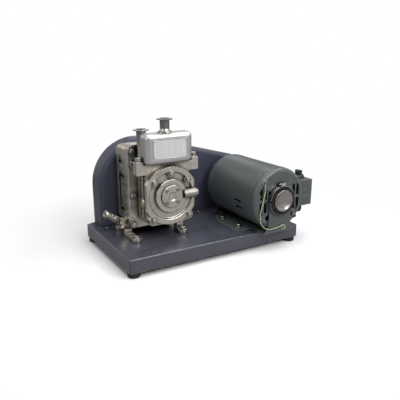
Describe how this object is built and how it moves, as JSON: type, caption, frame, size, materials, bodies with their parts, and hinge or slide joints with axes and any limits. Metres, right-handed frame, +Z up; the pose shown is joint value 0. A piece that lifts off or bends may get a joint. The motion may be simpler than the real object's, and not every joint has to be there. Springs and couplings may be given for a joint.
{
  "type": "vacuum pump",
  "caption": "Belt-driven rotary vane vacuum pump and electric motor on a folded steel base, with belt guard, exhaust box and clamp-flange ports.",
  "frame": {"origin": "on the floor under the middle of the whole machine's box", "axes": "+X along the base from the pump to the motor, +Y towards the belt guard, +Z up"},
  "size_m": [0.554, 0.3456, 0.358],
  "materials": {
    "tray_paint": "dark slate grey paint, satin",
    "guard_paint": "dark slate grey paint, satin",
    "foot_rubber": "matte",
    "cast_metal": "blasted casting, satin",
    "machined_cover": "blasted casting with a turned groove",
    "stainless": "brushed",
    "bare_plate": "brushed, bare",
    "port_steel": "polished",
    "bolt_zinc": "zinc plated",
    "sight_window": "clear over oil",
    "drain_brass": "nickel plated",
    "black_plastic": "moulded",
    "motor_paint": "dark grey paint, satin",
    "zinc_strap": "zinc plated",
    "hub_metal": "pressed",
    "ring_rubber": "matte",
    "belt_rubber": "matte",
    "iron": "machined",
    "shaft_steel": "ground",
    "vane_composite": "pressed",
    "bronze": "turned",
    "winding": "enamelled wire",
    "mesh": "knitted wire",
    "wire_cover": "green and yellow"
  },
  "bodies": {
    "stand": {"base_tray": "tray_paint", "rubber_feet": "foot_rubber", "foot_screws": "bolt_zinc", "belt_guard_shell": "guard_paint", "belt_guard_cover": "guard_paint", "guard_screws": "bolt_zinc", "centre_plate": "cast_metal", "plate_bolts": "bolt_zinc", "intake_housing": "cast_metal", "front_housing": "cast_metal", "front_cover": "machined_cover", "cover_bolts": "bolt_zinc", "end_cap": "machined_cover", "end_cap_screws": "bolt_zinc", "sight_glass_bezel": "bolt_zinc", "sight_glass": "sight_window", "deck_plugs": "bolt_zinc", "exhaust_box": "stainless", "demister": "mesh", "label_plate": "bare_plate", "exhaust_port": "port_steel", "inlet_port": "port_steel", "intake_stator": "iron", "exhaust_stator": "iron", "exhaust_end_plate": "iron", "exhaust_valve": "shaft_steel", "shaft_bushes": "bronze", "shaft_seal": "ring_rubber", "drive_belt": "belt_rubber", "drain_valve_body": "drain_brass", "pump_feet": "cast_metal", "pump_foot_bolts": "bolt_zinc", "motor_shell": "motor_paint", "motor_front_bell": "motor_paint", "motor_rear_bell": "motor_paint", "through_bolts": "bolt_zinc", "hub_cap": "hub_metal", "cushion_rings": "ring_rubber", "ring_clamps": "zinc_strap", "motor_stator": "winding", "motor_bearings": "shaft_steel", "motor_cradle": "motor_paint", "cradle_bolts": "bolt_zinc", "conduit_box": "motor_paint", "conduit_cover": "motor_paint", "cable_gland": "black_plastic", "ground_wire": "wire_cover", "ground_screw": "bolt_zinc"},
    "pump_rotor": {"pump_shaft": "shaft_steel", "intake_rotor": "iron", "exhaust_rotor": "iron", "rotor_vanes": "vane_composite", "pump_pulley": "iron"},
    "motor_armature": {"motor_shaft": "shaft_steel", "motor_rotor": "shaft_steel", "motor_pulley": "iron"},
    "drain_lever": {"drain_handle": "drain_brass"},
    "ballast_valve": {"gas_ballast_knob": "machined_cover"},
    "power_switch": {"power_switch_knob": "black_plastic"}
  },
  "joints": [
    {"name": "pump_spin", "type": "hinge", "parent": "stand", "child": "pump_rotor", "pos_m": [-0.128, 0.0178, 0.161], "axis": [0, 1, 0], "continuous": true},
    {"name": "motor_spin", "type": "hinge", "parent": "stand", "child": "motor_armature", "pos_m": [0.1475, -0.0362, 0.1385], "axis": [0, 1, 0], "continuous": true},
    {"name": "drain_handle_turn", "type": "hinge", "parent": "stand", "child": "drain_lever", "pos_m": [-0.227, 0.0295, 0.085], "axis": [0, 1, 0], "range_deg": [0, 90]},
    {"name": "gas_ballast_turn", "type": "hinge", "parent": "stand", "child": "ballast_valve", "pos_m": [-0.0567, -0.0572, 0.165], "axis": [1, 0, 0], "range_deg": [0, 180]},
    {"name": "power_switch_turn", "type": "hinge", "parent": "stand", "child": "power_switch", "pos_m": [0.256, -0.1022, 0.1748], "axis": [0, 0, 1], "range_deg": [-90, 0]}
  ],
  "couplings": [
    {"joint": "motor_spin", "follows": "pump_spin", "ratio": 3.2903}
  ]
}
